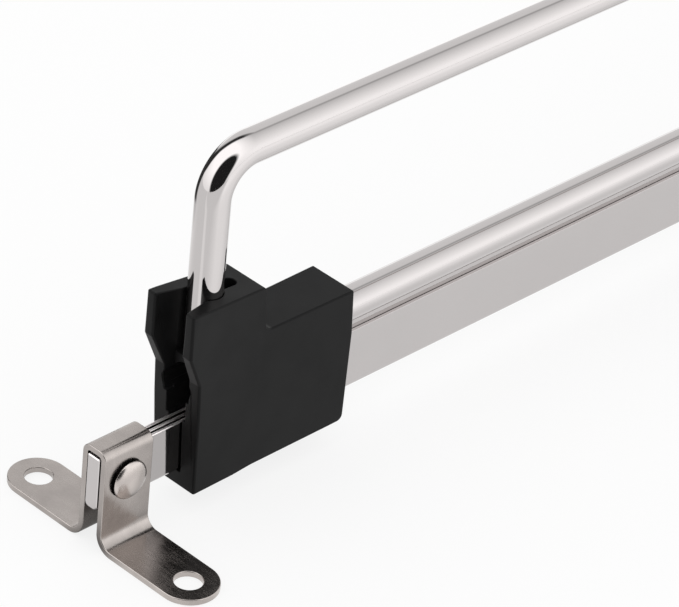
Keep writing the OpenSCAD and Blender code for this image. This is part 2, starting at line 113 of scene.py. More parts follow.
class ValetRodSizes(bpy.types.PropertyGroup):
    """Sizes that the frame's boxes don't give."""

    sheet_t: length("Rail sheet", "Thickness of the rail's rolled sheet", 0.8)
    web_t: length("Web", "Thickness of the rail's doubled web", 3.7)
    web_h: length("Web height", "Height of the web up to its seam", 15.65)
    web_fold_r: length("Web fold", "Radius of the web's lower edges", 1.2)
    neck_y: length("Neck", "The neck's offset to the near side", 0.97)
    tail_y: length("Tail", "The tail sheet's offset to the near side", 0.05)
    tail_stop: length("Tail stop", "Height of the tail's end above the web's underside", 3)
    notch_drop: length("End cut", "Depth of the cut ends below the seam", 2.05)
    notch_len: length("End cut length", "Length of the cut ends", 31)
    strap_w: length("Strap width", "Width of the bracket's strap", 14)
    strap_t: length("Strap", "Thickness of the bracket's sheet", 1.5)
    saddle_gap: length("Saddle gap", "Room between the rail and the saddle's legs", 0.3)
    saddle_r: length("Saddle corner", "Outside radius of the saddle's corners", 2.3)
    foot_bend_r: length("Foot bend", "Radius between leg and foot on the hollow side", 3)
    foot_hole_d: length("Foot hole", "Diameter of a foot hole", 6.5)
    rivet_gap: length("Rivet gap", "Gap under the rim of the rivet's head", 0.6)
    rivet_undercut: length("Rivet undercut", "Depth of the gap under the rim", 0.9)
    rivet_d: length("Rivet shank", "Diameter of the rivet's shank", 4)
    rivet_tail_d: length("Rivet end", "Diameter of the rivet's closed end", 6.8)
    rod_bend_r: length("Rod bend", "Radius of the rod's bends, on its axis", 10)
    rod_chamfer: length("Rod chamfer", "Chamfer of the rod's feet", 0.5)
    tower_len: length("Tower length", "Length of the slider's tower, along its top", 22.7)
    tower_fall: length("Tower fall", "Fall of the tower's top towards the block", 1.7)
    tower_lean: length("Tower lean", "Lean of the tower's inner end", 1.2)
    block_top_z: length("Block top", "Height of the low block's top", 41.5)
    end_lean: length("End lean", "Lean of the block's end at its top", 0.8)
    lean_z: length("Lean height", "Height where the block's end reaches furthest", 30)
    step_r: length("Step", "Radius between tower and block", 2.4)
    slider_corner_r: length("Lower corner", "Radius of the slider's lower corner", 1.6)
    slant_r: length("Slant corners", "Radius of the corners of the slanted end", 1)
    open_end_w: length("Open end", "Greatest width of the slider", 15)
    open_top_w: length("Open top", "Width of the slider's top at its open end", 14.6)
    underside_w: length("Underside", "Width of the slider's underside", 13)
    waist_w: length("Waist", "Width of the slider behind its tower", 12.4)
    block_w: length("Block", "Width of the slider's low block at its end", 13.2)
    seat_w: length("Seat", "Width of the seat of the rod's foot", 8.2)
    slot_mouth_w: length("Slot mouth", "Width of the slot at the open end's top", 10)
    slot_low_w: length("Slot, low", "Width of the slot's lower half", 8.6)
    throat_w: length("Throat", "Width of the throat that the rod's foot snaps through", 6.8)
    set_back: length("Set back", "Set-back of the lower half", 3.6)
    lower_lean: length("Lower lean", "Lean of the lower half", 1.5)
    slant_top_z: length("Slant top", "Height where the slanted end starts", 44)
    slant_bottom_z: length("Slant bottom", "Height where the slanted end stops", 35.7)
    underside_rise: length("Underside rise", "Rise of the underside to the block's end", 0.6)
    ledge_z: length("Ledges", "Height of the ledges under the rail's tube", 29.2)
    ledge_gap_w: length("Ledge gap", "Width between the ledges", 6)
    relief_w: length("Relief", "Width of the relief behind the rod's foot", 3.2)
    relief_len: length("Relief length", "Reach of the relief behind the rod", 4.8)
    relief_depth: length("Relief depth", "Depth of the relief", 11)
    bar_d: length("Bar", "Diameter of the slide bar", 5)


class ValetRodFinishes(bpy.types.PropertyGroup):
    """Colours and roughness of the finishes."""

    bright_nickel: colour("Bright nickel", "Plating of the rod and the rail", (0.545, 0.520, 0.515))
    dull_nickel: colour("Dull nickel", "Plating of the pressed brackets", (0.42, 0.384, 0.364))
    steel: colour("Steel", "Drawn steel of the bar and the pins", (0.52, 0.515, 0.51))
    black_plastic: colour("Black plastic", "Moulded slider and grip", (0.0065, 0.0065, 0.0067))
    # The gap colour is painted shade: a near-black colour on the faces under the rivet's rim, where shade
    # falls.
    gap_painted_shade: colour("Gap", "Painted shade in the gap under the rivet's rim", (0.012, 0.011, 0.010))
    nylon: colour("Nylon", "Natural nylon of the bushes", (0.82, 0.80, 0.74))
    rubber: colour("Rubber", "Closing buffer", (0.022, 0.022, 0.022))
    bright_roughness: share("Bright roughness", "Roughness of the bright plating", 0.06)
    dull_roughness: share("Dull roughness", "Roughness of the dull plating", 0.24)
    plastic_roughness: share("Plastic roughness", "Roughness of the moulded plastic", 0.42)


class ValetRodStudio(bpy.types.PropertyGroup):
    """Camera, floor and light."""

    focal_px: FloatProperty(name="Focal length", description="Focal length in pixels of the picture",
                            default=4247.2, min=100)
    azimuth: angle("Azimuth", "Camera's turn about the vertical, 0 looks along +Y", -48.045)
    elevation: angle("Elevation", "Camera's height above the horizon", 33.180)
    roll: angle("Roll", "Camera's roll", -5.927)
    distance: length("Distance", "Camera's distance along its view from the rear bracket", 926.752, high=9000)
    slide_right: length("Slide right", "Camera's slide to the right", 49.609)
    slide_up: length("Slide up", "Camera's slide upwards", 50.047)
    floor_size: length("Floor", "Side of the floor", 12000, high=90000)
    floor_share: share("Floor share", "Share of the floor's white that takes shadows", 0.18)
    floor_glow: share("Floor glow", "Share of the floor's white that always shows", 0.81)
    far_level: share("Far level", "Light from the far side's panel", 1.0, 4)
    rim_level: share("Rim level", "Light from the panel's dark rim, at the right", 0.55, 4)
    near_level: share("Near level", "Light from the near side's soft box", 1.6, 4)
    high_level: share("High level", "Light from above and from the rear", 1.85, 4)
    plain_level: share("Plain level", "Even light on everything that isn't mirrored", 1.0, 4)
    dark_level: share("Dark level", "Light from the dark side of the room", 0.02, 4)


SETTINGS = {"valet_rod_sizes": ValetRodSizes, "valet_rod_finishes": ValetRodFinishes,
            "valet_rod_studio": ValetRodStudio}
# Width of the picture that the focal length is counted in, in pixels.
PICTURE_W = 679


def sizes_mm(context):
    """The size settings as plain millimetres."""
    group = context.scene.valet_rod_sizes
    return SimpleNamespace(**{key: getattr(group, key) / MM for key in ValetRodSizes.__annotations__})


# Mesh tools


def arc(centre, radius, start, end, steps):
    """Points of an arc, angles in degrees."""
    angles = [radians(start + (end - start) * i / steps) for i in range(steps + 1)]
    return [(centre[0] + radius * cos(a), centre[1] + radius * sin(a)) for a in angles]


def rounded(corners, steps=8):
    """An outline of corners (u, v, radius), each rounded by its own radius."""
    points = []
    for i, (u, v, radius) in enumerate(corners):
        if not radius:
            points.append((u, v))
            continue
        corner = Vector((u, v))
        back = (Vector(corners[i - 1][:2]) - corner).normalized()
        ahead = (Vector(corners[(i + 1) % len(corners)][:2]) - corner).normalized()
        half = acos(max(-1, min(1, back.dot(ahead)))) / 2
        centre = corner + (back + ahead).normalized() * radius / sin(half)
        first = corner + back * radius / tan(half) - centre
        last = corner + ahead * radius / tan(half) - centre
        start = degrees(atan2(first.y, first.x))
        turn = (degrees(atan2(last.y, last.x)) - start + 540) % 360 - 180
        points += arc(centre, radius, start, start + turn, steps)
    return points


# How far a cutting tool runs past the piece, and the half width of a blank, in millimetres.
OVER, WIDE = 1, 9
# Margins round the edges and faces that a test picks, wide and close, in millimetres.
MARGIN, CLOSE = 1, 0.1
# Room round pressed fits, round moving fits, and between the slider and the rail.
PRESS_GAP, FIT_GAP, RUN_GAP = 0.05, 0.1, 0.3
# Roundings: the slider's open end, the plastic's other outer edges, the slot's rim, other inner edges.
PLASTIC_EDGE, PLASTIC_CREST, PLASTIC_RIM, PLASTIC_LIP = 0.6, 0.45, 0.5, 0.2
# Roundings: the bracket's tumbled edges, the rail's cut edges, the edge of its web at the seam.
METAL_EDGE, SHEET_EDGE, SEAM_EDGE = 0.22, 0.32, 0.06
# The point (u, v) of an outline at the place w along each axis.
AXES = {"X": lambda u, v, w: (w, u, v), "Y": lambda u, v, w: (u, w, v), "Z": lambda u, v, w: (u, v, w)}


def skin(rings, looped=False):
    """A closed solid through rings of points. A ring of one point is a tip, and looped rings meet again."""
    mesh = bmesh.new()
    rings = [[mesh.verts.new(point) for point in ring] for ring in rings]
    count = max(len(ring) for ring in rings)
    for a, b in zip(rings, rings[1:] + rings[:looped]):
        for i in range(count):
            j = (i + 1) % count
            corners = [a[i % len(a)], a[j % len(a)], b[j % len(b)], b[i % len(b)]]
            corners = [c for k, c in enumerate(corners) if c is not corners[k - 1]]
            if len(corners) > 2:
                mesh.faces.new(corners)
    for ring in (rings[0], rings[-1]):
        if len(ring) > 1 and not looped:
            mesh.faces.new(ring)
    bmesh.ops.recalc_face_normals(mesh, faces=mesh.faces)
    return mesh


def prism(outline, axis, start, end):
    """A closed prism of an outline along one axis."""
    return skin([[AXES[axis](u, v, w) for u, v in outline] for w in (start, end)])


def block(low, high):
    """A box between two corners, as a cutting tool."""
    outline = [(low[0], low[1]), (high[0], low[1]), (high[0], high[1]), (low[0], high[1])]
    return prism(outline, "Z", low[2], high[2])


def disc(axis, centre, radius, start, end, steps):
    """A round bar along one axis, as a cutting tool; centre is given in the other two axes."""
    return prism(arc(centre, radius, 0, 360 - 360 / steps, steps - 1), axis, start, end)


def both_sides(near):
    """A closed outline from its near side's points (x, y), mirrored to the far side."""
    return near + [(x, -y) for x, y in reversed(near)]


def circle(radius, steps):
    """Points round a circle, or one point where the radius is zero."""
    turns = (2 * pi * i / steps for i in range(steps if radius else 1))
    return [(radius * cos(turn), radius * sin(turn)) for turn in turns]


def lathe(profile, axis, centre, steps=72):
    """A turned solid: profile points (radius, place along the axis), from axis to axis or in a loop."""
    return skin([[AXES[axis](centre[0] + u, centre[1] + v, place) for u, v in circle(radius, steps)]
                 for radius, place in profile], looped=profile[0][0] > 0)


def sweep(path, radii, steps):
    """A round bar along a path in the XZ plane, with one radius for each point."""
    rings = []
    for i, (x, z) in enumerate(path):
        before, after = Vector(path[max(i - 1, 0)]), Vector(path[min(i + 1, len(path) - 1)])
        along = (after - before).normalized()
        rings.append([(x - along.y * u, v, z + along.x * u) for u, v in circle(radii[i], steps)])
    return skin(rings)


def as_object(name, mesh):
    """Links a bmesh as an object and frees it."""
    data = bpy.data.meshes.new(name)
    mesh.to_mesh(data)
    mesh.free()
    made = bpy.data.objects.new(name, data)
    bpy.context.scene.collection.objects.link(made)
    return made


def settle(piece):
    """Applies the modifiers of a piece to its mesh."""
    bpy.context.view_layer.update()
    shown = piece.evaluated_get(bpy.context.evaluated_depsgraph_get())
    old = piece.data
    piece.data = bpy.data.meshes.new_from_object(shown)
    piece.modifiers.clear()
    bpy.data.meshes.remove(old)


def discard(piece):
    """Removes an object and its mesh."""
    data = piece.data
    bpy.data.objects.remove(piece)
    bpy.data.meshes.remove(data)


@contextmanager
def edited(piece):
    """Opens a piece's mesh for changes, and writes them back."""
    mesh = bmesh.new()
    mesh.from_mesh(piece.data)
    yield mesh
    mesh.to_mesh(piece.data)
    mesh.free()


def combine(piece, tool, operation="DIFFERENCE"):
    """Cuts, joins or intersects a piece with a tool mesh."""
    cutter = as_object("tool", tool)
    change = piece.modifiers.new("combine", "BOOLEAN")
    change.operation, change.object, change.solver = operation, cutter, "EXACT"
    settle(piece)
    discard(cutter)


def overlap(first, second):
    """The space that two tool meshes share, as a tool mesh."""
    piece = as_object("shared", first)
    combine(piece, second, "INTERSECT")
    mesh = bmesh.new()
    mesh.from_mesh(piece.data)
    discard(piece)
    return mesh


# Doubled points closer than this are welded, in millimetres, and edges flatter than this are dissolved.
WELD, FLAT = 1e-4, radians(0.3)
# Edges sharper than this are drawn as creases.
CREASE = radians(40)


def soften(piece, width, segments=3, sharpest=35, radius_at=None):
    """Rounds every edge sharper than an angle in degrees, by a width or by radius_at(middle, direction)."""
    with edited(piece) as mesh:
        bmesh.ops.remove_doubles(mesh, verts=mesh.verts, dist=WELD)
        bmesh.ops.dissolve_limit(mesh, angle_limit=FLAT, verts=mesh.verts, edges=mesh.edges)
    with edited(piece) as mesh:
        weights = mesh.edges.layers.float
        weight = weights.get("bevel_weight_edge") or weights.new("bevel_weight_edge")
        for edge in mesh.edges:
            edge[weight] = 0
            if edge.is_manifold and edge.calc_face_angle() > radians(sharpest):
                start, end = (vertex.co for vertex in edge.verts)
                wanted = radius_at((start + end) / 2, (end - start).normalized()) if radius_at else width
                edge[weight] = min(1, wanted / width)
    change = piece.modifiers.new("soften", "BEVEL")
    change.width, change.segments, change.limit_method = width, segments, "WEIGHT"
    change.use_clamp_overlap, change.miter_outer = False, "MITER_ARC"
    settle(piece)


def finish_piece(piece, finish, body, slot, *nodes):
    """Scales a piece to metres, shades it smooth up to its creases and seats it in the frame."""
    with edited(piece) as mesh:
        bmesh.ops.scale(mesh, vec=(MM, MM, MM), verts=mesh.verts)
        for face in mesh.faces:
            face.smooth = True
        for edge in mesh.edges:
            edge.smooth = not edge.is_manifold or edge.calc_face_angle() < CREASE
    weighted = piece.modifiers.new("flat faces stay flat", "WEIGHTED_NORMAL")
    weighted.keep_sharp = True
    settle(piece)
    piece.data.materials.clear()
    piece.data.materials.append(material(finish))
    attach(piece, body)
    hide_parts(*nodes)


def second_finish(piece, finish, chosen):
    """Gives a second finish to the faces that chosen(middle in millimetres, normal) picks."""
    piece.data.materials.append(material(finish))
    for face in piece.data.polygons:
        if chosen(face.center / MM, face.normal):
            face.material_index = 1


# Material tools


def node(tree, kind, inputs=None, **settings):
    """Adds a shader node. Inputs are values, or outputs of other nodes to link."""
    made = tree.nodes.new(kind)
    for key, value in settings.items():
        setattr(made, key, value)
    for key, value in (inputs or {}).items():
        if isinstance(value, bpy.types.NodeSocket):
            tree.links.new(value, made.inputs[key])
        else:
            made.inputs[key].default_value = value
    return made


def maths(tree, operation, *values):
    """Arithmetic on two or more values, each a number or a socket, taken in turn."""
    result = values[0]
    for value in values[1:]:
        result = node(tree, "ShaderNodeMath", {0: result, 1: value}, operation=operation).outputs["Value"]
    return result


def ramp(tree, value, span, low=0, high=1):
    """A straight ramp from low at the span's start to high at its end, and level outside it."""
    return node(tree, "ShaderNodeMapRange", {"Value": value, "From Min": span[0], "From Max": span[1],
                                             "To Min": low, "To Max": high}).outputs["Result"]


def blend(tree, factor, a, b, kind="FLOAT"):
    """Mixes two levels, or two colours of kind RGBA."""
    return node(tree, "ShaderNodeMix", {"Factor": factor, "A": a, "B": b}, data_type=kind).outputs["Result"]


# The middle span of a noise, which holds most of its values.
NOISE_SPAN = (0.3, 0.7)
# The stretch of a noise that runs alike in all directions.
EVEN = (1, 1, 1)


def noise(tree, place, scale, detail, stretch=EVEN):
    """Noise of the object's own coordinates; scale is per metre."""
    mapping = node(tree, "ShaderNodeMapping", {"Vector": place, "Scale": stretch})
    return node(tree, "ShaderNodeTexNoise", {"Vector": mapping.outputs["Vector"], "Scale": scale,
                                             "Detail": detail, "Roughness": 0.55}).outputs["Fac"]


# The start of the finishes' names, which keeps them apart from the frame's own materials.
DRESSED = "dressed_"


def new_material(name, metallic=0.0):
    """A material with an empty tree, its shader, output and object coordinates."""
    material = bpy.data.materials.new(DRESSED + name)
    material.use_nodes = True
    tree = material.node_tree
    tree.nodes.clear()
    shader = node(tree, "ShaderNodeBsdfPrincipled", {"Metallic": metallic})
    node(tree, "ShaderNodeOutputMaterial", {"Surface": shader.outputs["BSDF"]})
    place = tree.nodes.new("ShaderNodeTexCoord").outputs["Object"]
    return material, tree, shader, place


def shaded(rgb, factor):
    """A darker or lighter shade of a colour."""
    return tuple(min(1, c * factor) for c in rgb)


def coloured(tree, shader, cloud, rgb, dark, light):
    """Gives a shader its colour, in clouds from a dark to a light shade of it."""
    shades = [(*shaded(rgb, factor), 1) for factor in (dark, light)]
    clouds = blend(tree, ramp(tree, cloud, NOISE_SPAN), *shades, "RGBA")
    tree.links.new(clouds, shader.inputs["Base Color"])


def polished(tree, shader, uneven, roughness, low, high, span=NOISE_SPAN):
    """Gives a shader its roughness, unevenly from a low to a high share of it."""
    tree.links.new(ramp(tree, uneven, span, roughness * low, roughness * high), shader.inputs["Roughness"])


def bumped(tree, shader, height, distance, under=None):
    """Adds a bump of a height, distance in metres, over the bump under it."""
    inputs = {"Height": height, "Distance": distance, "Strength": 1}
    if under:
        inputs["Normal"] = under
    made = node(tree, "ShaderNodeBump", inputs)
    tree.links.new(made.outputs["Normal"], shader.inputs["Normal"])
    return made.outputs["Normal"]


def metal(name, rgb, roughness, wave, grain, grain_stretch=(0.02, 1, 1), blotch=90):
    """Plated or drawn metal: cloudy colour, uneven polish, faint waves and a fine drawn grain."""
    material, tree, shader, place = new_material(name, metallic=1)
    cloud = noise(tree, place, scale=blotch, detail=4)
    fine = noise(tree, place, scale=1400, detail=4, stretch=grain_stretch)
    coloured(tree, shader, cloud, rgb, dark=0.985, light=1.01)
    both = maths(tree, "MULTIPLY", cloud, fine)
    polished(tree, shader, both, roughness, low=0.8, high=1.3, span=(0.1, 0.45))
    waves = bumped(tree, shader, noise(tree, place, scale=70, detail=2), wave)
    bumped(tree, shader, fine, grain, under=waves)
    return material


def brushed(name, rgb, roughness):
    """Pressed sheet, brushed along the strap and plated: a fine drawn grain and small pits."""
    material, tree, shader, place = new_material(name, metallic=1)
    cloud = noise(tree, place, scale=160, detail=5)
    speck = noise(tree, place, scale=2600, detail=3)
    scratch = noise(tree, place, scale=1800, detail=3, stretch=(1, 0.06, 0.06))
    coloured(tree, shader, cloud, rgb, dark=0.86, light=1.08)
    uneven = maths(tree, "ADD", cloud, scratch)
    polished(tree, shader, uneven, roughness, low=0.75, high=1.3, span=(0.7, 1.3))
    pits = bumped(tree, shader, speck, distance=1.5e-6)
    bumped(tree, shader, scratch, distance=1.2e-6, under=pits)
    return material


def moulded(name, rgb, roughness, specular, grain=9e-6, mottle=0.35, wax=0.0):
    """Moulded plastic: a fine spark texture, cloudy polish and faint flow mottling."""
    material, tree, shader, place = new_material(name)
    cloud = noise(tree, place, scale=130, detail=4)
    coloured(tree, shader, cloud, rgb, dark=1 - mottle / 2, light=1 + mottle / 2)
    polished(tree, shader, cloud, roughness, low=0.85, high=1.15)
    shader.inputs["Specular IOR Level"].default_value = specular
    if wax:
        shader.inputs["Subsurface Weight"].default_value = wax
        shader.inputs["Subsurface Scale"].default_value = MM
    waves = bumped(tree, shader, noise(tree, place, scale=45, detail=1), distance=3e-5)
    bumped(tree, shader, noise(tree, place, scale=3200, detail=2), grain, under=waves)
    return material


# Each finish by its name, from that name and the finish settings. Waves and grains are heights in metres.
MATERIALS = {
    "bright_nickel": lambda name, f: metal(name, f.bright_nickel, f.bright_roughness, wave=2e-6,
                                           grain=2e-7, blotch=40),
    "dull_nickel": lambda name, f: brushed(name, f.dull_nickel, f.dull_roughness),
    # Cut edges: a rough sheared finish, and a colour lightened far past nickel's as a painted highlight.
    "cut_nickel_painted_highlight": lambda name, f: metal(name, shaded(f.bright_nickel, 1.8), roughness=0.4, wave=3e-6,
                                        grain=3e-6, grain_stretch=EVEN),
    "rivet_nickel": lambda name, f: metal(name, shaded(f.dull_nickel, 1.25), roughness=0.24, wave=8e-6,
                                          grain=2e-6, grain_stretch=EVEN),
    "bar_steel": lambda name, f: metal(name, f.steel, roughness=0.16, wave=3e-6, grain=1e-6),
    "plain_steel": lambda name, f: metal(name, f.steel, roughness=0.3, wave=3e-6, grain=2e-6,
                                         grain_stretch=EVEN),
    "black_plastic": lambda name, f: moulded(name, f.black_plastic, f.plastic_roughness, specular=0.12),
    # Painted shade for the gap under the rivet's rim.
    "gap_painted_shade": lambda name, f: moulded(name, f.gap_painted_shade, roughness=0.8, specular=0.05),
    "nylon": lambda name, f: moulded(name, f.nylon, roughness=0.45, specular=0.5, grain=6e-6, mottle=0.08,
                                     wax=0.2),
    "rubber": lambda name, f: moulded(name, f.rubber, roughness=0.7, specular=0.3, grain=1.5e-5, mottle=0.3),
}


def material(name):
    """A finish by name, made once."""
    made = bpy.data.materials.get(DRESSED + name)
    return made or MATERIALS[name](name, bpy.context.scene.valet_rod_finishes)


# Pieces


def web_outline(s):
    """The rail's folded web, filled, seen along X."""
    half, bottom, seam = s.web_t / 2, RAIL_LOW.z, RAIL_LOW.z + s.web_h
    return rounded([(-half, seam, 0), (-half, bottom, s.web_fold_r), (half, bottom, s.web_fold_r),
                    (half, seam, 0)], steps=6)


def rail_outline(s):
    """The rail's rolled strip, seen along X: a tube on a doubled web with its seam on the near side."""
    bore_r, lip = TUBE_R - s.sheet_t, SEAM_EDGE
    half, bottom, seam = s.web_t / 2, RAIL_LOW.z, RAIL_LOW.z + s.web_h
    far_in, near_in = half - s.sheet_t, s.sheet_t - half
    neck_out, neck_in = -s.neck_y, s.sheet_t - s.neck_y
    tail_out, tail_in = -s.tail_y - s.sheet_t / 2, s.sheet_t / 2 - s.tail_y

    def angle_at(y, radius):
        return degrees(atan2(-sqrt(radius * radius - y * y), y))

    web = rounded([(-half, seam, lip), (-half, bottom, s.web_fold_r), (half, bottom, s.web_fold_r),
                   (half, TUBE_Z, 0)], steps=6)[:-1]
    outside = arc((0, TUBE_Z), TUBE_R, angle_at(half, TUBE_R), angle_at(neck_out, TUBE_R) + 360, steps=96)
    tail = [(neck_out, seam - s.sheet_t / 2), (tail_out, seam - 1.5 * s.sheet_t),
            (tail_out, bottom + s.tail_stop), (tail_in, bottom + s.tail_stop),
            (tail_in, seam - s.sheet_t), (neck_in, seam)]
    inside = arc((0, TUBE_Z), bore_r, angle_at(neck_in, bore_r) + 360, angle_at(far_in, bore_r), steps=72)
    hollow = [(far_in, bottom + s.sheet_t), (near_in, bottom + s.sheet_t)]
    top = arc((near_in - lip, seam - lip), lip, 0, 90, steps=5)
    return web + outside + tail + inside + hollow + top


class VALETROD_OT_rail(bpy.types.Operator):
    """Makes the fixed rail"""

    bl_idname = "valet_rod.rail"
    bl_label = "Rail"
    bl_options = {"REGISTER", "UNDO"}

    def execute(self, context):
        s = sizes_mm(context)
        rail = as_object("fixed_rail_strip", prism(rail_outline(s), "X", RAIL_LOW.x, RAIL_HIGH.x))
        notch_z = RAIL_LOW.z + s.web_h - s.notch_drop
        for side in (-1, 1):
            wall = sorted((side * (RAIL_HIGH.x - s.sheet_t), side * RAIL_HIGH.x))
            combine(rail, prism(web_outline(s), "X", *wall), "UNION")
            ends = sorted((side * (RAIL_HIGH.x - s.notch_len), side * (RAIL_HIGH.x + OVER)))
            combine(rail, block((ends[0], -WIDE, notch_z), (ends[1], WIDE, RAIL_HIGH.z + OVER)))
        cut_x = RAIL_HIGH.x - s.notch_len

        def edge_radius(middle, along):
            return SHEET_EDGE if abs(middle.x) > cut_x - MARGIN else SEAM_EDGE

        # The tops of the cut sheet edges: a rough cut, and a lighter colour as a painted highlight.
        def is_cut_highlight(place, normal):
            return abs(place.x) > cut_x and abs(place.z - notch_z) < SHEET_EDGE and normal.z > 0.2

        soften(rail, SHEET_EDGE, sharpest=50, radius_at=edge_radius)
        finish_piece(rail, "bright_nickel", FIXED, "rail_nickel", "rail")
        second_finish(rail, "cut_nickel_painted_highlight", is_cut_highlight)
        return {"FINISHED"}


def leg_out_y(s):
    """The outer face of a bracket's leg."""
    return s.web_t / 2 + s.saddle_gap + s.strap_t


def strap_path(s):
    """Stretches of the strap's middle line on one side, each with its length and its function from a
    distance to a point and the outward normal there. A foot bend's radius counts as negative."""
    half_t = s.strap_t / 2
    leg_out, top = leg_out_y(s), BRACKET_HIGH.z
    top_y, top_z = leg_out - s.saddle_r, top - s.saddle_r
    bend_y, bend_z = leg_out + s.foot_bend_r, s.strap_t + s.foot_bend_r
    corner_r, bend_r = s.saddle_r - half_t, s.foot_bend_r + half_t

    def straight(start, step, out):
        return lambda d: (Vector(start) + Vector(step) * d, Vector(out))

    def curved(centre, radius, start):
        def place(d):
            out = Vector((cos(start - d / radius), sin(start - d / radius)))
            return Vector(centre) + out * radius, out
        return place

    return [(top_y, straight((0, top - half_t), (1, 0), (0, 1))),
            (corner_r * pi / 2, curved((top_y, top_z), corner_r, pi / 2)),
            (top_z - bend_z, straight((leg_out - half_t, top_z), (0, -1), (1, 0))),
            (bend_r * pi / 2, curved((bend_y, bend_z), -bend_r, 0)),
            (BRACKET_HIGH.y - bend_y, straight((bend_y, half_t), (1, 0), (0, 1)))]


def bent(path, along, off):
    """A point of the flat strap, brought to its bent place in the YZ plane."""
    side, left = (1 if along >= 0 else -1), abs(along)
    for reach, place in path[:-1]:
        if left <= reach:
            break
        left -= reach
    else:
        place = path[-1][1]
    point, out = place(left)
    point = point + out * off
    return side * point.x, point.y


# Cuts across the strap, over which it bends at a saddle corner and at a foot.
CORNER_CUTS, FOOT_CUTS = 12, 16


def flat_strap(s, path):
    """The strap before bending: round ends, holes, tumbled edges, and cuts where it will bend."""
    half_w, half_t = s.strap_w / 2, s.strap_t / 2
    top, corner, leg, bend = (reach for reach, place in path[:-1])
    reach = sum(stretch for stretch, place in path)
    outline = (arc((0, reach - half_w), half_w, 0, 180, steps=32)
               + arc((0, half_w - reach), half_w, 180, 360, steps=32))
    strap = as_object("strap", prism(outline, "Z", -half_t, half_t))
    rivet_reach = top + corner + BRACKET_HIGH.z - s.saddle_r - RIVET_Z
    cuts = [top + corner * i / CORNER_CUTS for i in range(CORNER_CUTS + 1)]
    cuts += [top + corner + leg + bend * i / FOOT_CUTS for i in range(FOOT_CUTS + 1)]
    for side in (-1, 1):
        combine(strap, disc("Z", (0, side * (reach - half_w)), s.foot_hole_d / 2, -WIDE, WIDE, steps=64))
        combine(strap, disc("Z", (0, side * rivet_reach), s.rivet_d / 2, -WIDE, WIDE, steps=32))
    soften(strap, METAL_EDGE)
    with edited(strap) as mesh:
        for cut in cuts:
            for side in (-1, 1):
                bmesh.ops.bisect_plane(mesh, geom=mesh.verts[:] + mesh.edges[:] + mesh.faces[:],
                                       plane_co=(0, side * cut, 0), plane_no=(0, 1, 0), dist=WELD)
    return strap


class VALETROD_OT_brackets(bpy.types.Operator):
    """Makes the two bent strap brackets"""

    bl_idname = "valet_rod.brackets"
    bl_label = "Brackets"
    bl_options = {"REGISTER", "UNDO"}

    def execute(self, context):
        s = sizes_mm(context)
        path = strap_path(s)
        for side, name in ((-1, "rear_bracket"), (1, "front_bracket")):
            strap = flat_strap(s, path)
            for vertex in strap.data.vertices:
                across, along, off = vertex.co
                vertex.co = (side * BRACKET_X + across, *bent(path, along, off))
            strap.name = name + "_strap"
            finish_piece(strap, "dull_nickel", FIXED, "bracket_nickel", name)
        return {"FINISHED"}


def dome(radius, tip, height, steps=14):
    """A dome's profile from its tip, at a place on the axis, to its rim a height further on."""
    angles = [pi / 2 * i / steps for i in range(steps + 1)]
    return [(radius * sin(a), tip + height * (1 - cos(a))) for a in angles]


class VALETROD_OT_rivets(bpy.types.Operator):
    """Makes the two rivets, with a domed head on the near side"""

    bl_idname = "valet_rod.rivets"
    bl_label = "Rivets"
    bl_options = {"REGISTER", "UNDO"}

    def execute(self, context):
        s = sizes_mm(context)
        leg_out, head_r, shank_r = leg_out_y(s), (RIVET_HIGH.z - RIVET_LOW.z) / 2, s.rivet_d / 2
        rim_y, neck_r = -leg_out - s.rivet_gap, head_r - s.rivet_undercut
        head = dome(head_r, RIVET_LOW.y, rim_y - RIVET_LOW.y)
        tail = dome(s.rivet_tail_d / 2, RIVET_HIGH.y, leg_out - RIVET_HIGH.y)
        profile = [*head, (neck_r, rim_y), (neck_r, -leg_out), (shank_r, -leg_out), (shank_r, leg_out),
                   *reversed(tail)]
        for side, name in ((-1, "rear_rivet"), (1, "front_rivet")):
            rivet = as_object(name + "_domed", lathe(profile, "Y", (side * BRACKET_X, RIVET_Z)))
            finish_piece(rivet, "rivet_nickel", FIXED, "rivet_nickel", name)
            # The faces in the gap under the rim get the near-black painted shade.
            second_finish(rivet, "gap_painted_shade",
                          lambda place, normal: rim_y - CLOSE < place.y < -leg_out)
        return {"FINISHED"}


class VALETROD_OT_hanging_rod(bpy.types.Operator):
    """Makes the bent hanging rod"""

    bl_idname = "valet_rod.hanging_rod"
    bl_label = "Hanging rod"
    bl_options = {"REGISTER", "UNDO"}

    def execute(self, context):
        s = sizes_mm(context)
        rear, front = ROD_LOW.x + ROD_R, ROD_HIGH.x - ROD_R
        bend, bend_z, chamfer = s.rod_bend_r, ROD_HIGH.z - ROD_R - s.rod_bend_r, s.rod_chamfer
        heights = [ROD_LOW.z, ROD_LOW.z + chamfer, ROD_LOW.z + 2 * ROD_R]
        path = [(rear, z) for z in heights]
        path += arc((rear + bend, bend_z), bend, 180, 90, steps=32)
        path += arc((front - bend, bend_z), bend, 90, 0, steps=32)
        path += [(front, z) for z in reversed(heights)]
        radii = [ROD_R - chamfer] + [ROD_R] * (len(path) - 2) + [ROD_R - chamfer]
        rod = as_object("bent_rod", sweep(path, radii, steps=96))
        finish_piece(rod, "bright_nickel", MOVING, "rod_nickel", "hanging_rod")
        return {"FINISHED"}


